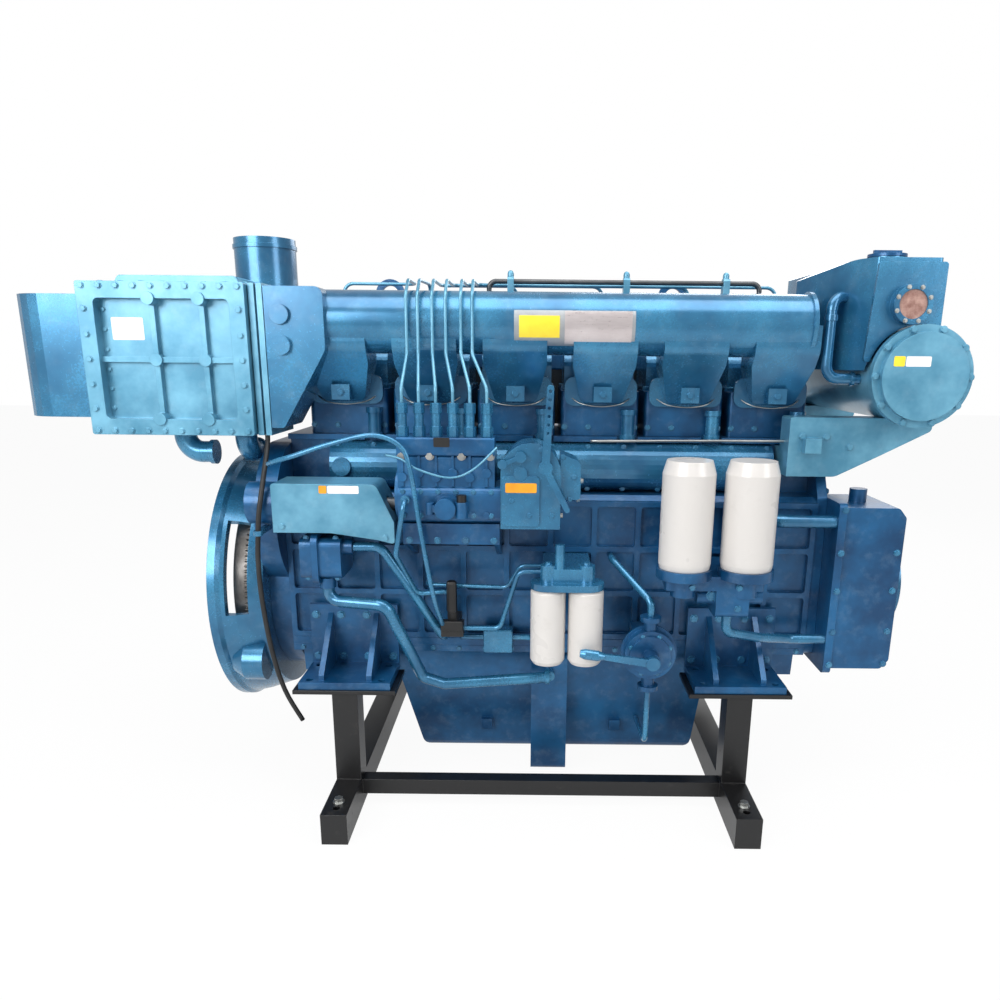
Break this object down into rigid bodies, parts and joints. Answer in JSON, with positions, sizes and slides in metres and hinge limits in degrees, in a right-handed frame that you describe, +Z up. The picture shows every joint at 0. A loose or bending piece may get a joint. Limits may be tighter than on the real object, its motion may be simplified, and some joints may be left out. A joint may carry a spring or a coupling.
{
  "type": "marine diesel engine",
  "caption": "Inline turbocharged marine diesel engine with charge air cooler, injection pump, filters, expansion tank and coolant cooler, on a square-tube transport stand.",
  "frame": {"origin": "centre of the crankshaft line in the flywheel housing's outer flange face", "axes": "+X along the crankshaft from the flywheel end to the free end, +Y to the exhaust side, +Z up"},
  "size_m": [2.324, 1.2, 1.439],
  "materials": {
    "blue_paint": "metallic sea blue gloss",
    "filter_white": "off-white gloss",
    "stand_black": "satin black",
    "steel": "machined",
    "cast_iron": "machined and oiled",
    "brass": "plain",
    "rubber": "matt",
    "sight_glass": "clear, coolant behind",
    "black_knob": "satin"
  },
  "bodies": {
    "engine": {"cylinder_block": "blue_paint", "cam_chest": "blue_paint", "oil_pan": "blue_paint", "cylinder_heads": "blue_paint", "rocker_covers": "blue_paint", "push_rod_tubes": "blue_paint", "flywheel_housing": "blue_paint", "gear_case": "blue_paint", "front_cover": "blue_paint", "engine_feet": "blue_paint", "intake_manifold": "blue_paint", "manifold_clips": "steel", "lifting_eyes": "blue_paint", "intercooler_housing": "blue_paint", "intercooler_cover": "blue_paint", "intercooler_elbows": "blue_paint", "charge_air_duct": "blue_paint", "compressor_housing": "steel", "turbine_housing": "cast_iron", "exhaust_manifold": "cast_iron", "exhaust_outlet": "blue_paint", "expansion_tank": "blue_paint", "sight_glass": "sight_glass", "level_pipe": "blue_paint", "heat_exchanger": "blue_paint", "thermostat_housing": "blue_paint", "oil_cooler": "blue_paint", "raw_water_pump": "brass", "starter_motor": "blue_paint", "injection_pump": "blue_paint", "delivery_valves": "steel", "injection_pipes": "blue_paint", "leak_off_pipe": "steel", "pump_bracket": "blue_paint", "coupling_guard": "blue_paint", "governor": "blue_paint", "feed_pump": "blue_paint", "lube_oil_pump": "blue_paint", "lube_oil_pipes": "blue_paint", "fuel_filter_head": "blue_paint", "fuel_filters": "filter_white", "fuel_pipes": "blue_paint", "fuel_valve": "black_knob", "oil_filter_base": "blue_paint", "oil_filters": "filter_white", "filter_pipes": "blue_paint", "wing_pump": "blue_paint", "stand": "stand_black", "drain_hose": "rubber", "hose_clip": "blue_paint"},
    "crank": {"crankshaft": "steel", "flywheel": "cast_iron", "crank_pulley": "blue_paint"},
    "pump_drive": {"drive_coupling": "steel"},
    "turbo": {"turbo_rotor": "steel"},
    "speed_control": {"speed_lever": "steel"},
    "stop_control": {"stop_lever": "steel"},
    "hand_pump": {"wing_pump_lever": "steel"},
    "coolant_cap": {"filler_cap": "steel"},
    "primer": {"primer_plunger": "black_knob"}
  },
  "joints": [
    {"name": "crank_spin", "type": "hinge", "parent": "engine", "child": "crank", "pos_m": [0, 0, 0], "axis": [1, 0, 0], "continuous": true},
    {"name": "pump_drive_spin", "type": "hinge", "parent": "engine", "child": "pump_drive", "pos_m": [0, -0.35, 0.275], "axis": [1, 0, 0], "continuous": true},
    {"name": "turbo_spin", "type": "hinge", "parent": "engine", "child": "turbo", "pos_m": [0, 0.02, 0.6], "axis": [1, 0, 0], "continuous": true},
    {"name": "speed_lever_turn", "type": "hinge", "parent": "engine", "child": "speed_control", "pos_m": [0.858, -0.441, 0.38], "axis": [0, 1, 0], "range_deg": [-15, 30]},
    {"name": "stop_lever_turn", "type": "hinge", "parent": "engine", "child": "stop_control", "pos_m": [0.8, -0.441, 0.405], "axis": [0, 1, 0], "range_deg": [-15, 20]},
    {"name": "hand_pump_stroke", "type": "hinge", "parent": "engine", "child": "hand_pump", "pos_m": [1.125, -0.48, -0.086], "axis": [0, 1, 0], "range_deg": [-35, 35]},
    {"name": "cap_turn", "type": "hinge", "parent": "engine", "child": "coolant_cap", "pos_m": [1.69, -0.215, 0.874], "axis": [0, 0, 1], "range_deg": [0, 90]},
    {"name": "primer_stroke", "type": "slide", "parent": "engine", "child": "primer", "axis": [0, 0, 1], "range_m": [0, 0.018]}
  ],
  "couplings": [
    {"joint": "pump_drive_spin", "follows": "crank_spin", "ratio": 0.5}
  ]
}
